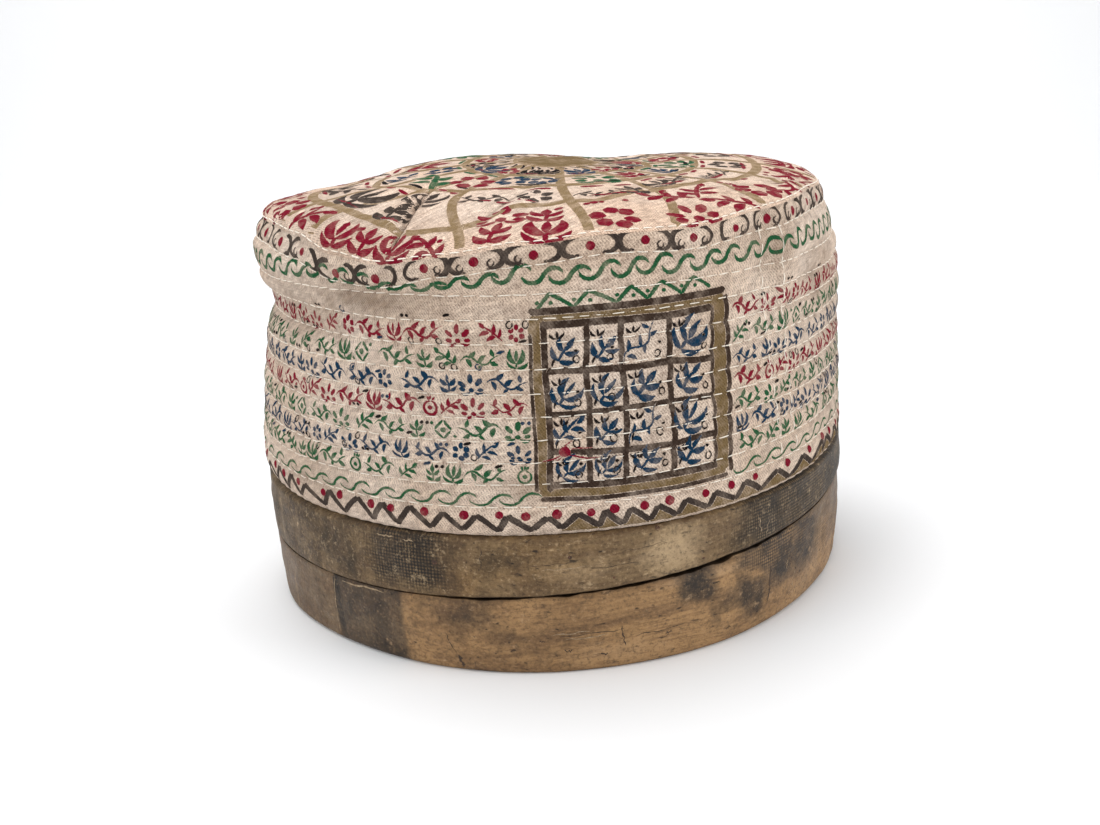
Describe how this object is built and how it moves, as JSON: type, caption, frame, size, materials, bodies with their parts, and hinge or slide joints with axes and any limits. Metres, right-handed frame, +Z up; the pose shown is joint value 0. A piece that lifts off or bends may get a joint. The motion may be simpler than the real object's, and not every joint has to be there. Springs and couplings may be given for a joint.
{
  "type": "talismanic cap on a wooden hat block",
  "caption": "Quilted cotton cap with a drawn and stitched side band and a soft round crown, stretched over an oval hat block of two boards.",
  "frame": {"origin": "middle of the underside of the hat block, where it stands on a surface", "axes": "+Z up, +X along the long axis of the oval, -Y towards the square panel drawn on the band's front"},
  "size_m": [0.1924, 0.1657, 0.1329],
  "materials": {
    "band_cloth": "matt pinkish beige cotton, quilted in rows of running stitches and drawn in ink",
    "crown_cloth": "matt warm cream cotton, creased and drawn in ink",
    "upper_wood": "dark, grey and brown stained bare wood",
    "lower_wood": "worn golden brown wood with dull polish"
  },
  "bodies": {
    "root": {"cap_side_band": "band_cloth", "cap_crown": "crown_cloth", "block_upper_board": "upper_wood", "block_lower_board": "lower_wood"}
  },
  "joints": []
}
